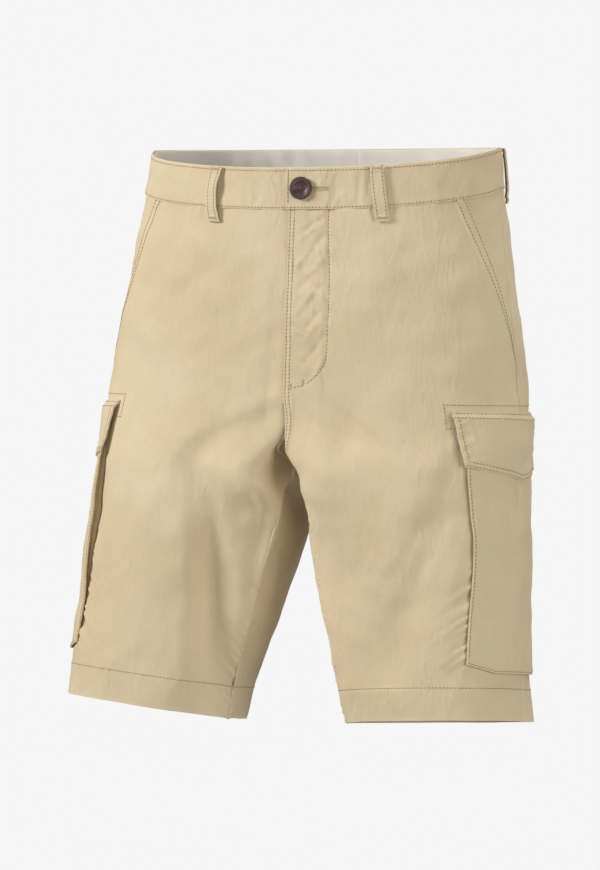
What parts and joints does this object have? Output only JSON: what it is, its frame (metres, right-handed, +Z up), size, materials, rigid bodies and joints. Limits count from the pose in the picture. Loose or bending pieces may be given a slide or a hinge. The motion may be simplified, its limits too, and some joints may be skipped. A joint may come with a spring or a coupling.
{
  "type": "cargo shorts",
  "caption": "Knee-length cotton cargo shorts, filled out as worn and hollow, with a buttoned waistband, fly, slanted hip pockets, belt loops and flapped bellows pockets.",
  "frame": {"origin": "middle of the waist opening, level with the top of the waistband at the sides", "axes": "+Z up along the wearer's body, -Y the way the front faces, +X the wearer's left"},
  "size_m": [0.4311, 0.2444, 0.5257],
  "materials": {
    "cotton": "matt cotton twill, light khaki",
    "lining": "matt plain cotton, light grey",
    "button": "satin moulded plastic, dark brown"
  },
  "bodies": {
    "root": {"front_left": "cotton", "front_right": "cotton", "back_left": "cotton", "back_right": "cotton", "hip_pocket_left": "cotton", "hip_pocket_right": "cotton", "waistband_left": "cotton", "waistband_right": "cotton", "waist_lining_left": "lining", "waist_lining_right": "lining", "fly": "cotton", "cargo_pocket_left": "cotton", "cargo_pocket_right": "cotton", "cargo_gusset_left": "cotton", "cargo_gusset_right": "cotton", "cargo_flap_left": "cotton", "cargo_flap_right": "cotton", "belt_loop_front_left": "cotton", "belt_loop_front_right": "cotton", "belt_loop_side_left": "cotton", "belt_loop_side_right": "cotton", "belt_loop_back": "cotton", "button": "button"}
  },
  "joints": []
}
